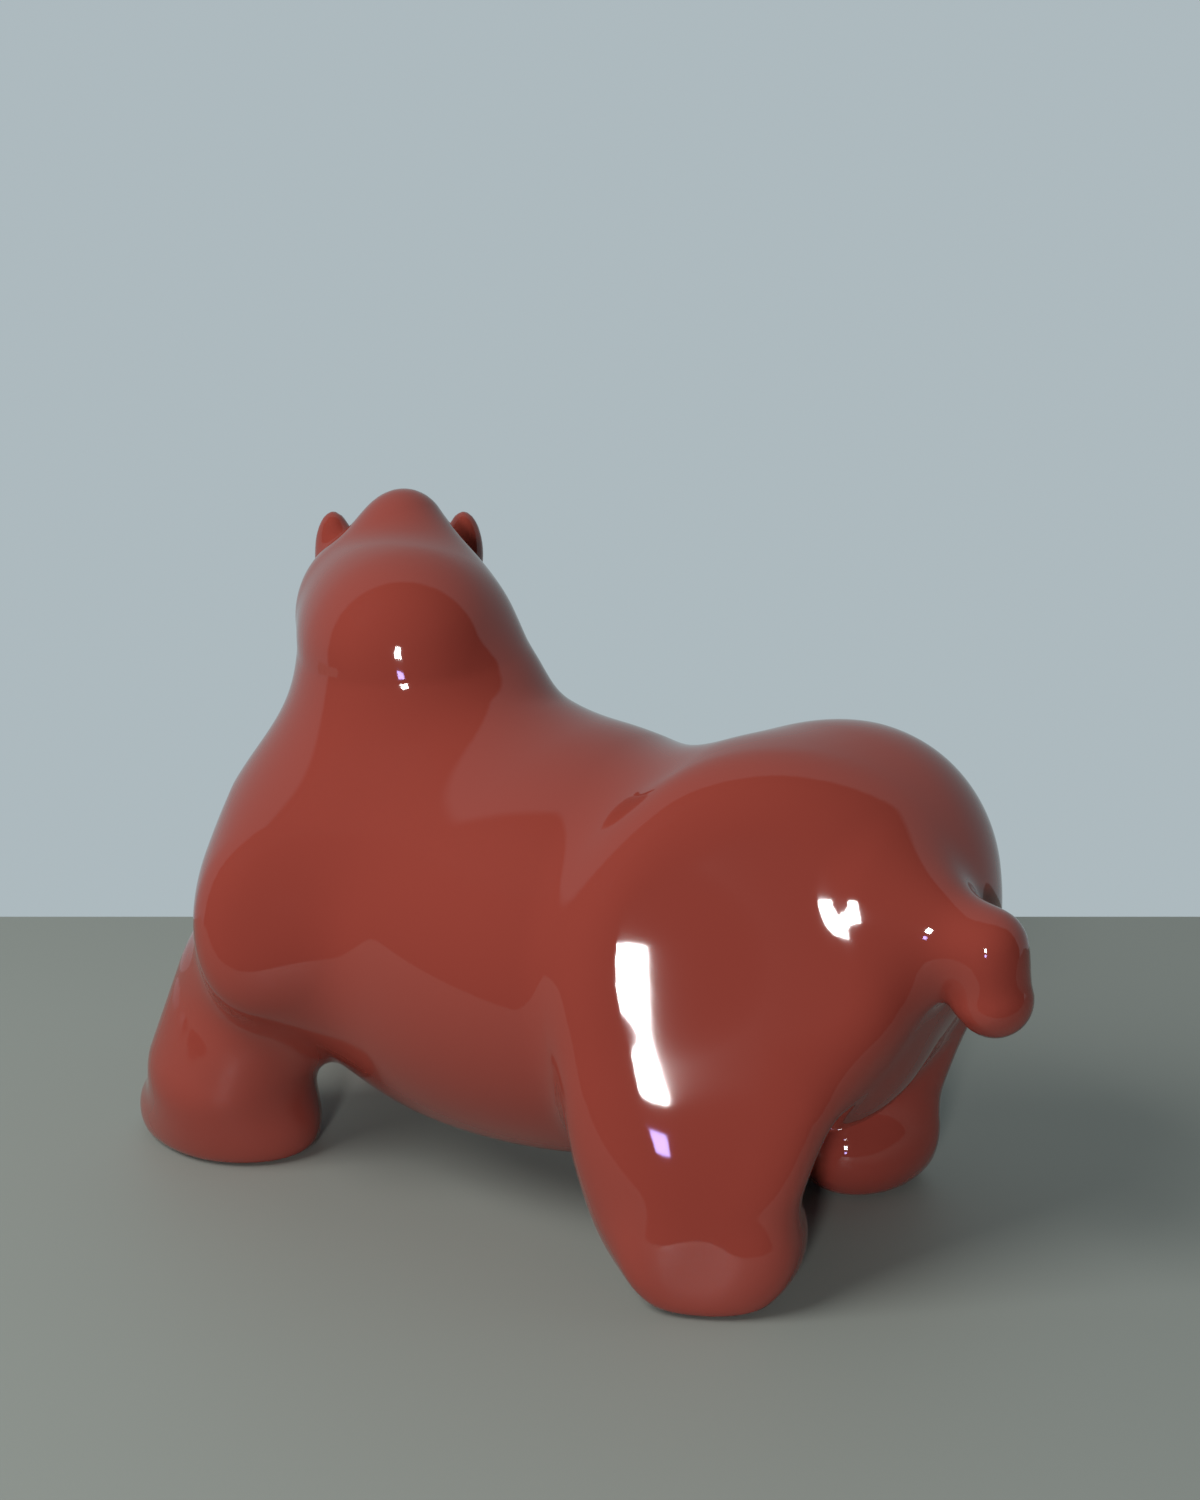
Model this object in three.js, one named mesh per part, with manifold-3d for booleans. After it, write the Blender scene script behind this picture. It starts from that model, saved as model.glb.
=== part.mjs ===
// A plump standing horse, hand-modelled in clay and glazed, in millimetres.
// +X points to its chest, +Y to its left and +Z up. It stands on Z = 0, centred over the origin.
import * as THREE from "three";
import { mergeVertices } from "three/addons/utils/BufferGeometryUtils.js";
import Module from "manifold-3d";

// Driving dimensions of the stance. X runs from the middle between the feet.
const WHEELBASE = 170;
const TRACK = 87;
const BELLY_CLEARANCE = 13;
const HIND = -WHEELBASE / 2;
const FORE = WHEELBASE / 2;
const SIDE = TRACK / 2;

// The head looks back over its right side with the nose down.
const HEAD_AT = [68, -26, 166];
const HEAD_TURN = -57;
const HEAD_NOD = 38;

// Fillets where two masses of clay were smoothed together.
const MELTED = 26;
const SOFT = 20;
const FIRM = 12;
const CRISP = 6;

// Polynomial smooth minimum of two distances over a fillet of width k.
function blend(a, b, k) {
  const h = Math.max(k - Math.abs(a - b), 0) / k;
  return Math.min(a, b) - (h * h * k) / 4;
}

// Joins distances one after another over fillets of width k.
const join = (k, ...shapes) => (p) => shapes.map((s) => s(p)).reduce((a, b) => blend(a, b, k));

// Takes the cutter out of a shape, with the rim of the cut rounded over a width k.
const press = (k, shape, cutter) => (p) => -blend(-shape(p), cutter(p), k);

// Distance to an ellipsoid turned about Z by an angle in degrees.
function ellipsoid(centre, radii, turn = 0) {
  const [cx, cy, cz] = centre;
  const [rx, ry, rz] = radii;
  const cos = Math.cos(THREE.MathUtils.degToRad(turn));
  const sin = Math.sin(THREE.MathUtils.degToRad(turn));
  return (p) => {
    const x = (p.x - cx) * cos + (p.y - cy) * sin;
    const y = (p.y - cy) * cos - (p.x - cx) * sin;
    const z = p.z - cz;
    const near = Math.hypot(x / rx, y / ry, z / rz);
    const slope = Math.hypot(x / rx ** 2, y / ry ** 2, z / rz ** 2);
    return slope > 0 ? (near * (near - 1)) / slope : -Math.min(rx, ry, rz);
  };
}

// Distance to a rod whose radius runs from ra at a to rb at b.
function rod(a, ra, b, rb) {
  const start = new THREE.Vector3(...a);
  const along = new THREE.Vector3(...b).sub(start);
  const q = new THREE.Vector3();
  return (p) => {
    q.copy(p).sub(start);
    const t = THREE.MathUtils.clamp(q.dot(along) / along.lengthSq(), 0, 1);
    return q.addScaledVector(along, -t).length() - (ra + (rb - ra) * t);
  };
}

// The shape as made for the left side, and its mirror image on the right.
function pair(shape, k) {
  const q = new THREE.Vector3();
  return (p) => blend(shape(p), shape(q.set(p.x, -p.y, p.z)), k);
}

// A shape made in its own frame, nosed down about Y, turned about Z and moved.
function placed(shape, origin, turn, nod = 0) {
  const [nodAngle, turnAngle] = [nod, turn].map(THREE.MathUtils.degToRad);
  const toOwnFrame = new THREE.Matrix4()
    .makeRotationFromEuler(new THREE.Euler(0, nodAngle, turnAngle, "ZYX"))
    .setPosition(...origin)
    .invert();
  const q = new THREE.Vector3();
  return (p) => shape(q.copy(p).applyMatrix4(toOwnFrame));
}

// Barrel and chest, with the belly pressed level.
function makeTrunk() {
  const barrel = ellipsoid([HIND + 82, 0, 73], [98, 62, 64]);
  const chest = ellipsoid([FORE - 33, 0, 87], [40, 48, 41]);
  const level = (p) => p.z - BELLY_CLEARANCE;
  return press(FIRM, join(MELTED, barrel, chest), level);
}

// Croup, the two haunches and the hind legs with their rounded hooves.
function makeHindquarters() {
  const croup = ellipsoid([HIND + 7, 0, 86], [54, 48, 55]);
  const haunch = ellipsoid([HIND - 11, 29, 91], [40, 19, 50], 8);
  const thigh = ellipsoid([HIND + 12, SIDE + 1, 59], [27, 25, 52], 27);
  const leg = rod([HIND - 2, SIDE - 1, 56], 25, [HIND - 1, SIDE + 1, 24], 24);
  const hoof = ellipsoid([HIND - 2, SIDE - 1, 13], [23, 26, 16]);
  const side = join(14, join(24, haunch, thigh), join(8, leg, hoof));
  return join(24, croup, pair(side, 16));
}

// Shoulders, one mass on each side.
function makeShoulders() {
  return pair(ellipsoid([FORE - 28, SIDE - 6, 79], [25, 34, 29], -7), SOFT);
}

function makeForelegs() {
  const leg = rod([FORE - 10, SIDE - 3, 50], 24, [FORE - 4, SIDE, 24], 25);
  const hoof = ellipsoid([FORE - 1, SIDE - 1, 9], [28, 27, 18]);
  return pair(join(8, leg, hoof), CRISP);
}

// The neck leans to the right as it rises.
function makeNeck() {
  const base = [42, 0, 112];
  const middle = [41, 2, 147];
  const top = [62, -16, 155];
  return join(SOFT, rod(base, 43, middle, 28), rod(middle, 28, top, 29));
}

// The narrow ridge from the withers up to the poll.
function makeCrest() {
  return rod([25, -8, 139], 15, [62, -23, 181], 11);
}

// In the frame of the head +X runs down the nose.
function makeHead() {
  const cheeks = ellipsoid([12, 0, -6], [25, 20, 22]);
  const muzzle = join(FIRM, rod([18, 0, -2], 16, [48, 0, -3], 12), ellipsoid([53, 0, -4], [12, 13, 13]));
  const brow = pair(ellipsoid([15, 11, 9], [9, 6, 6]), CRISP);
  const eyes = pair(ellipsoid([21, 14, 6], [5, 4.5, 4.5]), 1);
  const nostrils = pair(ellipsoid([63, 7, 1], [4, 3.5, 3.5]), 1);
  const face = join(FIRM, cheeks, muzzle);
  const eyed = join(2, join(CRISP, face, brow), eyes);
  return press(2, press(2, eyed, nostrils), makeMouth(face));
}

// A groove across the end of the muzzle, narrowing with its depth inside the face.
function makeMouth(face) {
  const [height, halfWidth, closing, corners] = [-9, 2.6, 0.8, 45];
  return (p) => Math.max(Math.abs(p.z - height) - halfWidth - closing * face(p), corners - p.x);
}

// Short rounded ears, hollowed in front. Their frame turns with the head, but stays upright.
function makeEars() {
  const ear = ellipsoid([8, 20, 4], [5.5, 6, 13], 20);
  const hollow = ellipsoid([14, 22, 7], [4, 4, 8], 20);
  return pair(press(2, ear, hollow), CRISP);
}

// A stub that leaves the croup level and hangs clear of it.
function makeTail() {
  const root = [HIND - 30, 0, 105];
  const bend = [HIND - 58, 0, 98];
  const tip = [HIND - 61, 0, 83];
  return join(8, rod(root, 12, bend, 9), rod(bend, 9, tip, 10.5));
}

function makeHorse() {
  const forequarters = join(MELTED, makeTrunk(), makeShoulders(), makeNeck());
  const body = join(FIRM, forequarters, makeHindquarters(), makeForelegs());
  const crested = join(FIRM, body, makeCrest());
  const headed = join(10, crested, placed(makeHead(), HEAD_AT, HEAD_TURN, HEAD_NOD));
  return join(CRISP, headed, placed(makeEars(), HEAD_AT, HEAD_TURN), makeTail());
}

// Meshes the zero level of a distance by surface nets: one point in each cell that the
// surface passes through, and one four-sided face round each grid edge that it crosses.
function surfaceNet(distance, box, step) {
  const size = box.getSize(new THREE.Vector3());
  const [nx, ny, nz] = [size.x, size.y, size.z].map((s) => Math.ceil(s / step) + 1);
  const at = (i, j, k) => i + nx * (j + ny * k);
  const place = (i, j, k) => new THREE.Vector3(i, j, k).multiplyScalar(step).add(box.min);
  const value = new Float32Array(nx * ny * nz);
  for (let k = 0; k < nz; k++)
    for (let j = 0; j < ny; j++)
      for (let i = 0; i < nx; i++) value[at(i, j, k)] = distance(place(i, j, k));

  const corners = [...Array(8).keys()].map((c) => [c & 1, (c >> 1) & 1, c >> 2]);
  const pointOf = new Map();
  const points = [];
  for (let k = 0; k < nz - 1; k++)
    for (let j = 0; j < ny - 1; j++)
      for (let i = 0; i < nx - 1; i++) {
        const v = corners.map(([a, b, c]) => value[at(i + a, j + b, k + c)]);
        if (v.every((x) => x < 0) || v.every((x) => x >= 0)) continue;
        pointOf.set(at(i, j, k), points.length);
        const inCell = meanCrossing(corners, v);
        points.push(inCell.multiplyScalar(step).add(place(i, j, k)));
      }

  const axes = [
    [1, 0, 0],
    [0, 1, 0],
    [0, 0, 1],
  ];
  const faces = [];
  for (let k = 1; k < nz - 1; k++)
    for (let j = 1; j < ny - 1; j++)
      for (let i = 1; i < nx - 1; i++)
        axes.forEach(([dx, dy, dz], axis) => {
          const inside = value[at(i, j, k)] < 0;
          if (inside === value[at(i + dx, j + dy, k + dz)] < 0) return;
          const [ux, uy, uz] = axes[(axis + 1) % 3];
          const [wx, wy, wz] = axes[(axis + 2) % 3];
          const ring = [
            at(i - ux - wx, j - uy - wy, k - uz - wz),
            at(i - wx, j - wy, k - wz),
            at(i, j, k),
            at(i - ux, j - uy, k - uz),
          ].map((cell) => pointOf.get(cell));
          if (!inside) ring.reverse();
          faces.push(...twoTriangles(ring, points));
        });
  return { points, faces };
}

// The mean of the places where the surface crosses the edges of a unit cell.
function meanCrossing(corners, v) {
  const sum = new THREE.Vector3();
  let crossings = 0;
  for (let c = 0; c < 8; c++)
    for (const bit of [1, 2, 4]) {
      const d = c | bit;
      if (c & bit || v[c] < 0 === v[d] < 0) continue;
      const from = new THREE.Vector3(...corners[c]);
      sum.add(from.lerp(new THREE.Vector3(...corners[d]), v[c] / (v[c] - v[d])));
      crossings++;
    }
  return sum.divideScalar(crossings);
}

// Splits a four-sided face along its shorter diagonal.
function twoTriangles([a, b, c, d], points) {
  const acIsShorter = points[a].distanceTo(points[c]) <= points[b].distanceTo(points[d]);
  return acIsShorter ? [a, b, c, a, c, d] : [a, b, d, b, c, d];
}

// Moves each point onto the zero level along the slope of the distance.
function settle(points, distance, rounds = 3) {
  const e = 0.05;
  const q = new THREE.Vector3();
  const slope = new THREE.Vector3();
  for (let round = 0; round < rounds; round++)
    for (const p of points) {
      const d = distance(p);
      slope.set(
        distance(q.copy(p).setX(p.x + e)) - d,
        distance(q.copy(p).setY(p.y + e)) - d,
        distance(q.copy(p).setZ(p.z + e)) - d,
      );
      slope.divideScalar(e);
      p.addScaledVector(slope, -d / Math.max(slope.lengthSq(), 0.1));
    }
}

const wasm = await Module();
wasm.setup();

function solidOf({ points, faces }) {
  const vertProperties = new Float32Array(points.flatMap((p) => p.toArray()));
  const triVerts = new Uint32Array(faces);
  return new wasm.Manifold(new wasm.Mesh({ numProp: 3, vertProperties, triVerts }));
}

// The surface of a distance as a solid, its corners moved exactly onto the zero level.
function solidFrom(distance, box, step) {
  const net = surfaceNet(distance, box, step);
  settle(net.points, distance);
  return solidOf(net);
}

// The box that holds the head, turned with it, drawn in on every side by an inset.
function boxRoundHead(inset) {
  const [long, wide, high] = [72, 92, 84].map((side) => side - 2 * inset);
  const [ahead, below] = [35, -8];
  const box = new THREE.BoxGeometry(long, wide, high).translate(ahead, 0, below);
  box.rotateZ(THREE.MathUtils.degToRad(HEAD_TURN)).translate(...HEAD_AT);
  box.deleteAttribute("normal").deleteAttribute("uv");
  const { attributes, index } = mergeVertices(box);
  const corner = (i) => new THREE.Vector3().fromBufferAttribute(attributes.position, i);
  const points = [...Array(attributes.position.count).keys()].map(corner);
  return solidOf({ points, faces: [...index.array] });
}

// The body in coarse facets and the head in fine ones, meeting at the faces of the box.
function sculpt() {
  const BODY_STEP = 7.8;
  const HEAD_STEP = 3.1;
  const OVERLAP = 0.3;
  const SLIVER = 0.05;
  const bodyRoom = new THREE.Box3(new THREE.Vector3(-170, -110, -24), new THREE.Vector3(140, 90, 210));
  const headRoom = new THREE.Box3(new THREE.Vector3(10, -110, 90), new THREE.Vector3(150, 30, 210));
  const headZone = headRoom.clone().expandByScalar(-2 * HEAD_STEP);
  const horse = makeHorse();
  const nearHead = (p) => Math.max(horse(p), headZone.distanceToPoint(p) - 1);
  const body = solidFrom(horse, bodyRoom, BODY_STEP).subtract(boxRoundHead(OVERLAP));
  const head = solidFrom(nearHead, headRoom, HEAD_STEP).intersect(boxRoundHead(0));
  return body.add(head).trimByPlane([0, 0, 1], 0).simplify(SLIVER).getMesh();
}

const { vertProperties, triVerts } = sculpt();
const geometry = new THREE.BufferGeometry()
  .setAttribute("position", new THREE.BufferAttribute(new Float32Array(vertProperties), 3))
  .setIndex(new THREE.BufferAttribute(new Uint32Array(triVerts), 1));
geometry.computeBoundingBox();
const middle = geometry.boundingBox.getCenter(new THREE.Vector3());
geometry.translate(-middle.x, -middle.y, 0);
geometry.computeVertexNormals();

const glaze = new THREE.MeshStandardMaterial({ color: 0xa23c30, roughness: 0.12, metalness: 0 });
const horseMesh = new THREE.Mesh(geometry, glaze);
horseMesh.name = "horse";
const root = new THREE.Group();
root.add(horseMesh);
export default root;
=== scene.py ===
"""A plump standing horse, hand-modelled in clay and glazed red, on a pale table in soft light.

Blender works in metres. The horse is modelled in millimetres, in its own frame: +X to its chest,
+Y to its left, +Z up, with the origin midway between its feet on the table.
"""

import math

import bpy
import numpy as np
from mathutils import Euler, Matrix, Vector


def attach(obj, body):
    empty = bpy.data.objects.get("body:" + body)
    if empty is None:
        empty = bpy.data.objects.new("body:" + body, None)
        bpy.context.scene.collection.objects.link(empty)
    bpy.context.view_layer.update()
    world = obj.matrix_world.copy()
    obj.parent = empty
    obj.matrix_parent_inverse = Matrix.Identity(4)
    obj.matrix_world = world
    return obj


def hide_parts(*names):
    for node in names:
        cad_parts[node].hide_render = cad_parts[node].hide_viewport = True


MM = 0.001

# Driving dimensions of the stance. X runs from the middle between the feet.
WHEELBASE = 170
TRACK = 87
BELLY_CLEARANCE = 13
HIND = -WHEELBASE / 2
FORE = WHEELBASE / 2
SIDE = TRACK / 2

# The head looks back over its right side with the nose down.
HEAD_AT = (68, -26, 166)
HEAD_TURN = -57
HEAD_NOD = 38

# Fillets where two masses of clay were smoothed together.
MELTED = 26
SOFT = 20
FIRM = 12
CRISP = 6

# From the horse's own frame to the middle of its box.
TO_CENTRE = (22.2, 0.25, 0)

MESH_STEP = 1.7


# Shapes are signed distances in millimetres: functions of an array of points, one row each.


def blend(a, b, k):
    """Polynomial smooth minimum of two distances over a fillet of width k."""
    h = np.maximum(k - np.abs(a - b), 0) / k
    return np.minimum(a, b) - h * h * (k / 4)


def join(k, *shapes):
    """Joins distances one after another over fillets of width k."""

    def joined(p):
        out = shapes[0](p)
        for shape in shapes[1:]:
            out = blend(out, shape(p), k)
        return out

    return joined


def press(k, shape, cutter):
    """Takes the cutter out of a shape, with the rim of the cut rounded over a width k."""
    return lambda p: -blend(-shape(p), cutter(p), k)


def turned(p, degrees):
    """Points seen from a frame turned about Z."""
    cos = math.cos(math.radians(degrees))
    sin = math.sin(math.radians(degrees))
    x = p[:, 0] * cos + p[:, 1] * sin
    y = p[:, 1] * cos - p[:, 0] * sin
    return np.stack([x, y, p[:, 2]], 1)


def ellipsoid(centre, radii, turn=0):
    """An ellipsoid turned about Z by an angle in degrees."""
    centre = np.array(centre, np.float32)
    radii = np.array(radii, np.float32)

    def distance(p):
        q = turned(p - centre, turn) / radii
        near = np.sqrt((q * q).sum(1))
        q /= radii
        slope = np.sqrt((q * q).sum(1))
        return near * (near - 1) / np.maximum(slope, 1e-6)

    return distance


def rod(a, ra, b, rb):
    """A rod whose radius runs from ra at a to rb at b."""
    start = np.array(a, np.float32)
    along = np.array(b, np.float32) - start

    def distance(p):
        q = p - start
        t = np.clip(q @ along / (along @ along), 0, 1)
        q -= t[:, None] * along
        return np.sqrt((q * q).sum(1)) - (ra + (rb - ra) * t)

    return distance


def pat(k, shape, azimuth, elevation, reach):
    """Pats a shape flat where it faces this way, at this reach from the origin."""
    a, e = math.radians(azimuth), math.radians(elevation)
    facing = (math.cos(e) * math.cos(a), math.cos(e) * math.sin(a), math.sin(e))
    return press(k, shape, lambda p: reach - p @ np.array(facing, np.float32))


def mirrored(shape):
    """The mirror image of a shape on the other side."""
    return lambda p: shape(p * np.array([1, -1, 1], np.float32))


def pair(shape, k):
    """The shape as made for the left side, and its mirror image on the right."""
    return join(k, shape, mirrored(shape))


def placed(shape, origin, turn, nod=0):
    """A shape made in its own frame, nosed down about Y, turned about Z and moved."""
    to_world = Euler((0, math.radians(nod), math.radians(turn)), "XYZ").to_matrix()
    axes = np.array(to_world, np.float32)
    origin = np.array(origin, np.float32)
    return lambda p: shape((p - origin) @ axes)


def make_trunk():
    """Barrel and chest, with the belly pressed level."""
    barrel = ellipsoid((HIND + 82, 0, 73), (98, 61.5, 64.5))
    chest = ellipsoid((FORE - 30, 0, 85), (35, 46.5, 40))
    return press(FIRM, join(MELTED, barrel, chest), lambda p: p[:, 2] - BELLY_CLEARANCE)


def make_hindquarters():
    """The left haunch is patted broad and flat, the right one left plumper."""
    croup = ellipsoid((HIND + 12, 0, 88), (48.5, 44, 50.5))
    under_tail = ellipsoid((HIND - 13, -5, 62), (23, 30, 27))
    left_haunch = ellipsoid((HIND - 3, 21, 93), (41, 34, 45.5))
    right_haunch = ellipsoid((HIND - 6.5, 23.5, 97.5), (41.5, 40, 45))
    sides = join(22, make_hind_side(left_haunch), mirrored(make_hind_side(right_haunch)))
    return pat(14, join(FIRM, join(17.5, croup, sides), under_tail), 119, 19, 102.3)


def make_hind_side(haunch):
    """Haunch, buttock and thigh over a leg patted flat outside down to its rounded hoof."""
    buttock = ellipsoid((HIND - 20.5, 26.5, 83.5), (22, 19, 20))
    thigh = ellipsoid((HIND + 15.5, SIDE + 2, 65), (24.5, 22, 60), 26.5)
    leg = rod((HIND - 7, SIDE + 3.5, 56), 28, (HIND - 3.5, SIDE + 1, 24), 20.5)
    hoof = ellipsoid((HIND - 4.5, SIDE, 15), (21.5, 29.5, 19.5))
    upper = join(26.5, join(13.5, haunch, buttock), thigh)
    return join(17.5, upper, pat(8, join(8, leg, hoof), 116, 1, 95.5))


def make_shoulders():
    """Shoulders, patted flat where they face outward and a little to the rear."""
    shoulder = ellipsoid((FORE - 23.5, SIDE - 2.5, 79), (20, 39.5, 31), 16)
    return pair(pat(10, shoulder, 121.5, 11.5, 50.6), SOFT)


def make_forelegs():
    leg = rod((FORE - 10, SIDE - 5, 50), 24, (FORE - 3, SIDE, 24), 25)
    hoof = ellipsoid((FORE + 1, SIDE - 3, 7.5), (31, 22.5, 19))
    return pair(join(8, leg, hoof), CRISP)


def make_neck():
    """The neck leans to the right as it rises, and is patted flat on its left."""
    base = (42.5, -1, 115.5)
    middle = (42.5, 2.5, 151.5)
    top = (64.5, -14, 156)
    neck = join(SOFT, rod(base, 42.3, middle, 26.5), rod(middle, 26.5, top, 26))
    return pat(14, neck, 121, 15, 61.8)


def make_crest():
    """The narrow ridge from the withers up to the poll."""
    return rod((24.5, -7.5, 140.5), 15.8, (59.5, -19, 181.5), 12)


def make_head():
    """In the frame of the head +X runs down the nose."""
    cheeks = ellipsoid((12, 0, -6), (25, 20, 22))
    muzzle = join(FIRM, rod((18, 0, -2), 16, (48, 0, -3), 12), ellipsoid((53, 0, -4), (12, 13, 13)))
    brow = pair(ellipsoid((15, 11, 9), (9, 6, 6)), CRISP)
    eyes = pair(ellipsoid((21, 14, 6), (5, 4.5, 4.5)), 1)
    nostrils = pair(ellipsoid((63, 7, 1), (4, 3.5, 3.5)), 1)
    face = join(FIRM, cheeks, muzzle)
    eyed = join(2, join(CRISP, face, brow), eyes)
    return press(2, press(2, eyed, nostrils), make_mouth(face))


def make_mouth(face):
    """A groove across the end of the muzzle, narrowing with its depth inside the face."""
    height, half_width, closing, corners = -9, 2.6, 0.8, 45

    def distance(p):
        slot = np.abs(p[:, 2] - height) - half_width - closing * face(p)
        return np.maximum(slot, corners - p[:, 0])

    return distance


def make_ears():
    """Short rounded ears, hollowed in front. Their frame turns with the head, but stays upright."""
    ear = ellipsoid((8, 20, 4), (5.5, 6, 13), 20)
    hollow = ellipsoid((14, 22, 7), (4, 4, 8), 20)
    return pair(press(2, ear, hollow), CRISP)


def make_tail():
    """A stub that leaves the croup level and hangs clear of it."""
    root = (HIND - 27, 0, 104)
    bend = (HIND - 58, 0, 96.5)
    tip = (HIND - 61, 0, 83)
    return join(8, rod(root, 13.5, bend, 9), rod(bend, 9, tip, 10.3))


def make_horse():
    """The whole figure, its soles cut level with a slightly rounded rim."""
    forequarters = join(MELTED, make_trunk(), make_shoulders(), make_neck())
    body = join(FIRM, forequarters, make_hindquarters(), make_forelegs())
    crested = join(FIRM, body, make_crest())
    headed = join(10, crested, placed(make_head(), HEAD_AT, HEAD_TURN, HEAD_NOD))
    ears = placed(make_ears(), HEAD_AT, HEAD_TURN)
    tailed = join(FIRM, join(CRISP, headed, ears), make_tail())
    return press(3, tailed, lambda p: p[:, 2])


def surface_net(distance, low, high, step):
    """Meshes the zero level: one point in each cell it passes, one quad round each edge it crosses."""
    ticks = [np.arange(a, b + step, step, dtype=np.float32) for a, b in zip(low, high)]
    value = np.empty([len(t) for t in ticks], np.float32)
    layer = np.stack(np.meshgrid(ticks[1], ticks[2], indexing="ij"), -1).reshape(-1, 2)
    for i, x in enumerate(ticks[0]):
        points = np.column_stack([np.full(len(layer), x, np.float32), layer])
        value[i] = distance(points).reshape(value.shape[1:])

    inside = value < 0
    corners = [(a, b, c) for a in (0, 1) for b in (0, 1) for c in (0, 1)]
    cells = tuple(n - 1 for n in value.shape)

    def at_corner(array, corner):
        return array[tuple(slice(o, o + n) for o, n in zip(corner, cells))]

    count = sum(at_corner(inside, c).astype(np.int8) for c in corners)
    mixed = (count > 0) & (count < 8)
    cell = np.argwhere(mixed)
    total = np.zeros((len(cell), 3))
    crossings = np.zeros(len(cell))
    for corner in corners:
        for axis in range(3):
            if corner[axis]:
                continue
            other = tuple(1 if n == axis else c for n, c in enumerate(corner))
            near = value[tuple((cell + corner).T)]
            far = value[tuple((cell + other).T)]
            crossed = (near < 0) != (far < 0)
            share = np.where(crossed, near / np.where(crossed, near - far, 1), 0)
            place = np.tile(np.array(corner, float), (len(cell), 1))
            place[:, axis] = share
            total += place * crossed[:, None]
            crossings += crossed
    points = (cell + total / crossings[:, None]) * step + np.array(low)

    index = np.full(cells, -1, np.int64)
    index[mixed] = np.arange(len(cell))
    quads = []
    for axis in range(3):
        u, w = np.eye(3, dtype=int)[[(axis + 1) % 3, (axis + 2) % 3]]
        ahead = np.eye(3, dtype=int)[axis]
        first = inside[tuple(slice(1, n) for n in cells)]
        second = inside[tuple(slice(1 + a, n + a) for a, n in zip(ahead, cells))]
        start = np.argwhere(first != second) + 1
        ring = [index[tuple((start - back).T)] for back in (u + w, w, 0 * u, u)]
        ring = np.stack(ring, 1)
        outward = first[tuple((start - 1).T)]
        quads.append(np.where(outward[:, None], ring, ring[:, ::-1]))
    return points, np.concatenate(quads)


def settle(points, distance, rounds=3):
    """Moves each point onto the zero level along the slope of the distance."""
    reach = 0.05
    for _ in range(rounds):
        here = distance(points)
        slope = np.stack([distance(points + step) - here for step in np.eye(3) * reach], 1) / reach
        points = points - slope * (here / np.maximum((slope**2).sum(1), 0.1))[:, None]
    return points


def make_body_mesh():
    """The horse as one smooth mesh in the row's frame."""
    points, quads = surface_net(make_horse(), (-162, -86, -6), (124, 86, 200), MESH_STEP)
    points = settle(points, make_horse())
    mesh = bpy.data.meshes.new("horse_body")
    mesh.from_pydata(((points + TO_CENTRE) * MM).tolist(), [], quads.tolist())
    mesh.shade_smooth()
    return mesh


def glaze_material():
    material = bpy.data.materials.new("red glaze")
    material.use_nodes = True
    shader = material.node_tree.nodes["Principled BSDF"]
    shader.inputs["Base Color"].default_value = (0.265, 0.047, 0.032, 1)
    shader.inputs["Roughness"].default_value = 0.05
    return material


def make_camera():
    """The photograph's viewpoint: beside and behind the horse, looking down over its left haunch."""
    data = bpy.data.cameras.new("camera")
    data.sensor_width = 36
    data.lens = 57.6
    camera = bpy.data.objects.new("camera", data)
    camera.location = (-0.3551, 0.5426, 0.3262)
    pitch, heading = -16.81, -56.85
    camera.rotation_euler = (math.radians(90 + pitch), 0, math.radians(heading - 90))
    bpy.context.scene.collection.objects.link(camera)
    bpy.context.scene.camera = camera


def make_table():
    """A pale slab whose far edge is the horizon behind the horse."""
    deep_front, deep_back, half_width, thick = 0.195, 0.211, 0.9, 0.02
    heading = math.radians(-56.85)
    ahead = Vector((math.cos(heading), math.sin(heading), 0))
    right = Vector((ahead.y, -ahead.x, 0))
    corners = [
        ahead * a + right * r
        for a, r in (
            (-deep_front, -half_width),
            (-deep_front, half_width),
            (deep_back, half_width),
            (deep_back, -half_width),
        )
    ]
    mesh = bpy.data.meshes.new("table")
    top = [tuple(c) for c in corners]
    low = [(x, y, -thick) for x, y, _ in top]
    sides = [(i, i + 4, (i + 1) % 4 + 4, (i + 1) % 4) for i in range(4)]
    mesh.from_pydata(top + low, [], [(0, 1, 2, 3), (7, 6, 5, 4)] + sides)
    table = bpy.data.objects.new("table", mesh)
    bpy.context.scene.collection.objects.link(table)
    material = bpy.data.materials.new("pale table")
    material.use_nodes = True
    shader = material.node_tree.nodes["Principled BSDF"]
    shader.inputs["Base Color"].default_value = (0.28, 0.30, 0.27, 1)
    shader.inputs["Roughness"].default_value = 0.6
    mesh.materials.append(material)


def area_light(name, azimuth, elevation, distance, size, power, color, aim=(0, 0, 0.09)):
    """A soft light seen from the horse at an azimuth from +X and a height above the horizon."""
    data = bpy.data.lights.new(name, "AREA")
    data.shape = "RECTANGLE"
    data.size, data.size_y = size
    data.energy = power
    data.color = color
    light = bpy.data.objects.new(name, data)
    a, e = math.radians(azimuth), math.radians(elevation)
    away = Vector((math.cos(a) * math.cos(e), math.sin(a) * math.cos(e), math.sin(e)))
    light.location = Vector(aim) + away * distance
    light.rotation_euler = away.to_track_quat("Z", "Y").to_euler()
    bpy.context.scene.collection.objects.link(light)
    return light


def make_lights():
    area_light("window", 114.5, 13, 1.6, (0.15, 0.24), 12, (1, 1, 1))
    area_light("blue window", 114.5, 1, 1.6, (0.12, 0.12), 1.5, (0.5, 0.42, 1))
    side = area_light("side light", 60, 45, 1.3, (0.7, 0.7), 12, (1, 1, 1))
    side.visible_glossy = False


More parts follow.
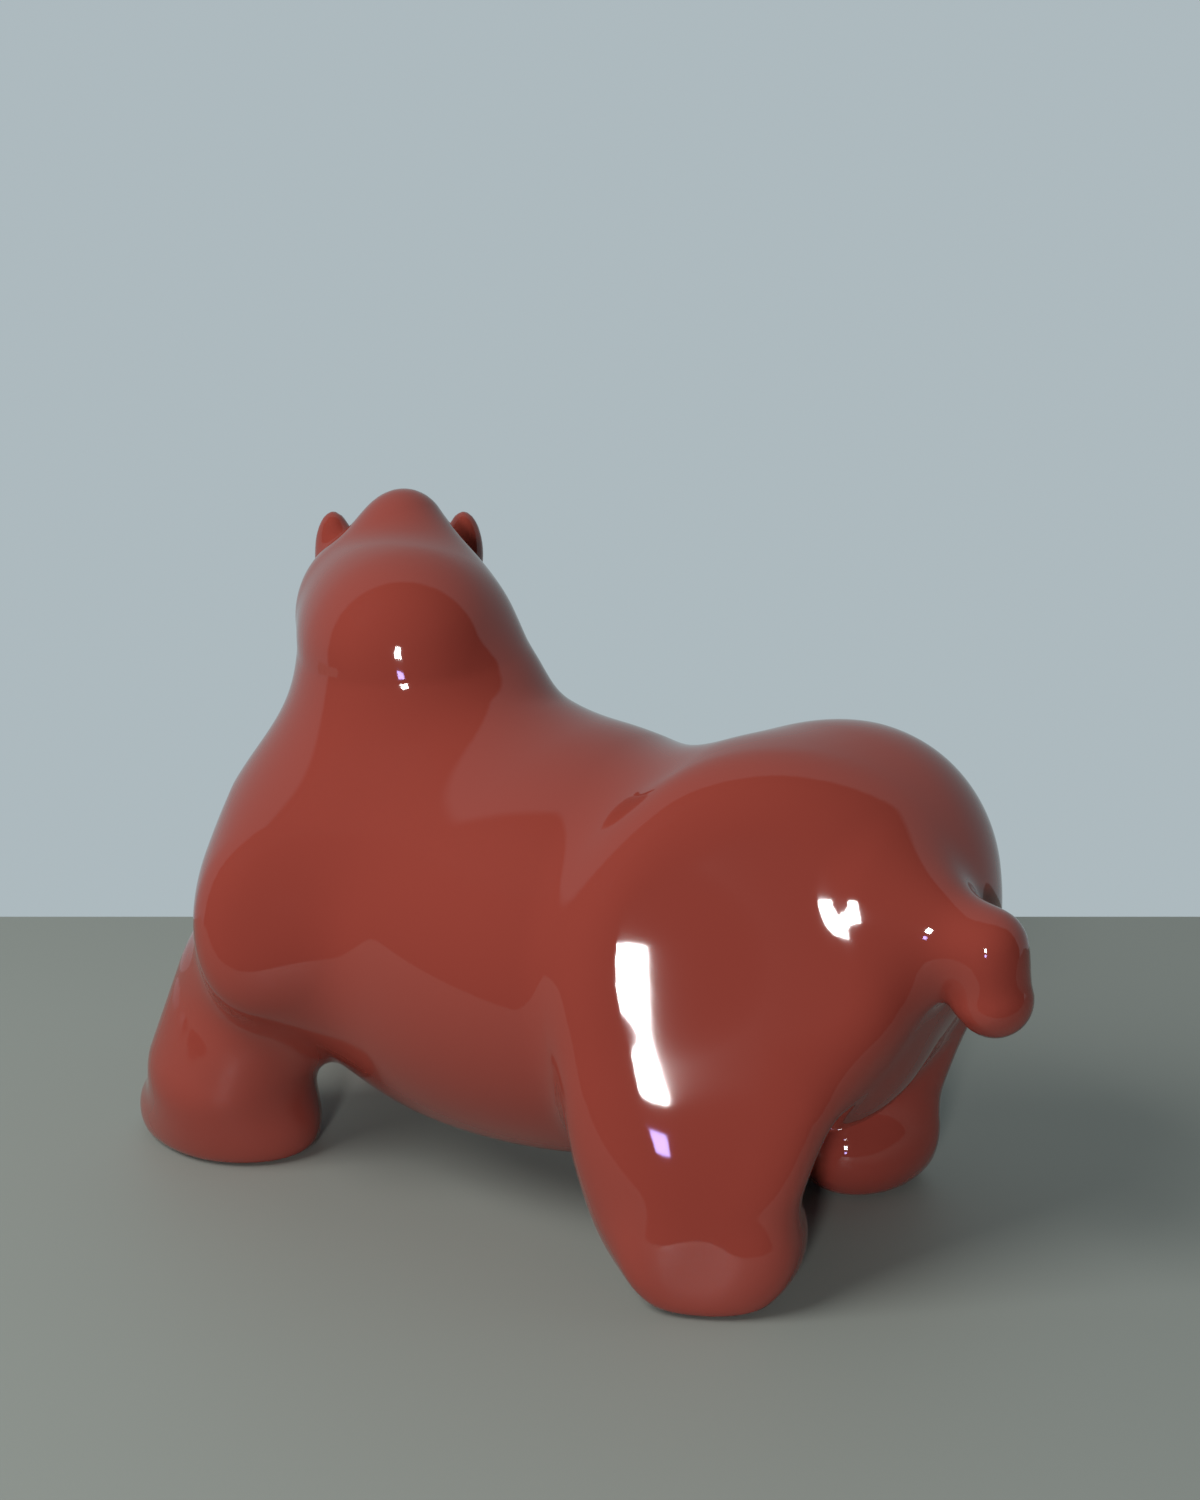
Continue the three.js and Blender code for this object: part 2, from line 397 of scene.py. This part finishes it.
def make_world():
    """Pale behind and above the horse, a dim room on the side that the window is on."""
    world = bpy.data.worlds.new("room")
    bpy.context.scene.world = world
    world.use_nodes = True
    nodes, links = world.node_tree.nodes, world.node_tree.links
    background = nodes["Background"]
    coordinates = nodes.new("ShaderNodeTexCoord")
    facing = nodes.new("ShaderNodeVectorMath")
    facing.operation = "DOT_PRODUCT"
    heading = math.radians(-56.85)
    facing.inputs[1].default_value = (math.cos(heading), math.sin(heading), 0)
    ramp = nodes.new("ShaderNodeValToRGB")
    ramp.color_ramp.elements[0].position = 0.47
    ramp.color_ramp.elements[0].color = (0.01, 0.012, 0.012, 1)
    ramp.color_ramp.elements[1].position = 0.5
    ramp.color_ramp.elements[1].color = (0.36, 0.42, 0.44, 1)
    shift = nodes.new("ShaderNodeMath")
    shift.operation = "MULTIPLY_ADD"
    shift.inputs[1].default_value = 0.5
    shift.inputs[2].default_value = 0.5
    light_path = nodes.new("ShaderNodeLightPath")
    mix = nodes.new("ShaderNodeMix")
    mix.data_type = "RGBA"
    mix.inputs["B"].default_value = (0.42, 0.49, 0.52, 1)
    links.new(coordinates.outputs["Generated"], facing.inputs[0])
    links.new(facing.outputs["Value"], shift.inputs[0])
    links.new(shift.outputs[0], ramp.inputs[0])
    links.new(light_path.outputs["Is Camera Ray"], mix.inputs["Factor"])
    links.new(ramp.outputs["Color"], mix.inputs["A"])
    links.new(mix.outputs["Result"], background.inputs["Color"])


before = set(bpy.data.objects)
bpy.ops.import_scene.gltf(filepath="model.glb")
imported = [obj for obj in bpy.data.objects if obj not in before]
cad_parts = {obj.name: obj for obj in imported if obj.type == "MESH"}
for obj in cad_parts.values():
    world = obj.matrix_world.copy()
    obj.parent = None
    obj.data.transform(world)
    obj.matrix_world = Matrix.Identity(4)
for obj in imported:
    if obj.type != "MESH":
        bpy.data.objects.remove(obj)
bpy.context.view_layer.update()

make_camera()
horse = bpy.data.objects.new("horse_body", make_body_mesh())
bpy.context.scene.collection.objects.link(horse)
horse.data.materials.append(glaze_material())
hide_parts("horse")
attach(horse, "root")

make_table()
make_lights()
make_world()
bpy.context.scene.view_settings.view_transform = "Standard"
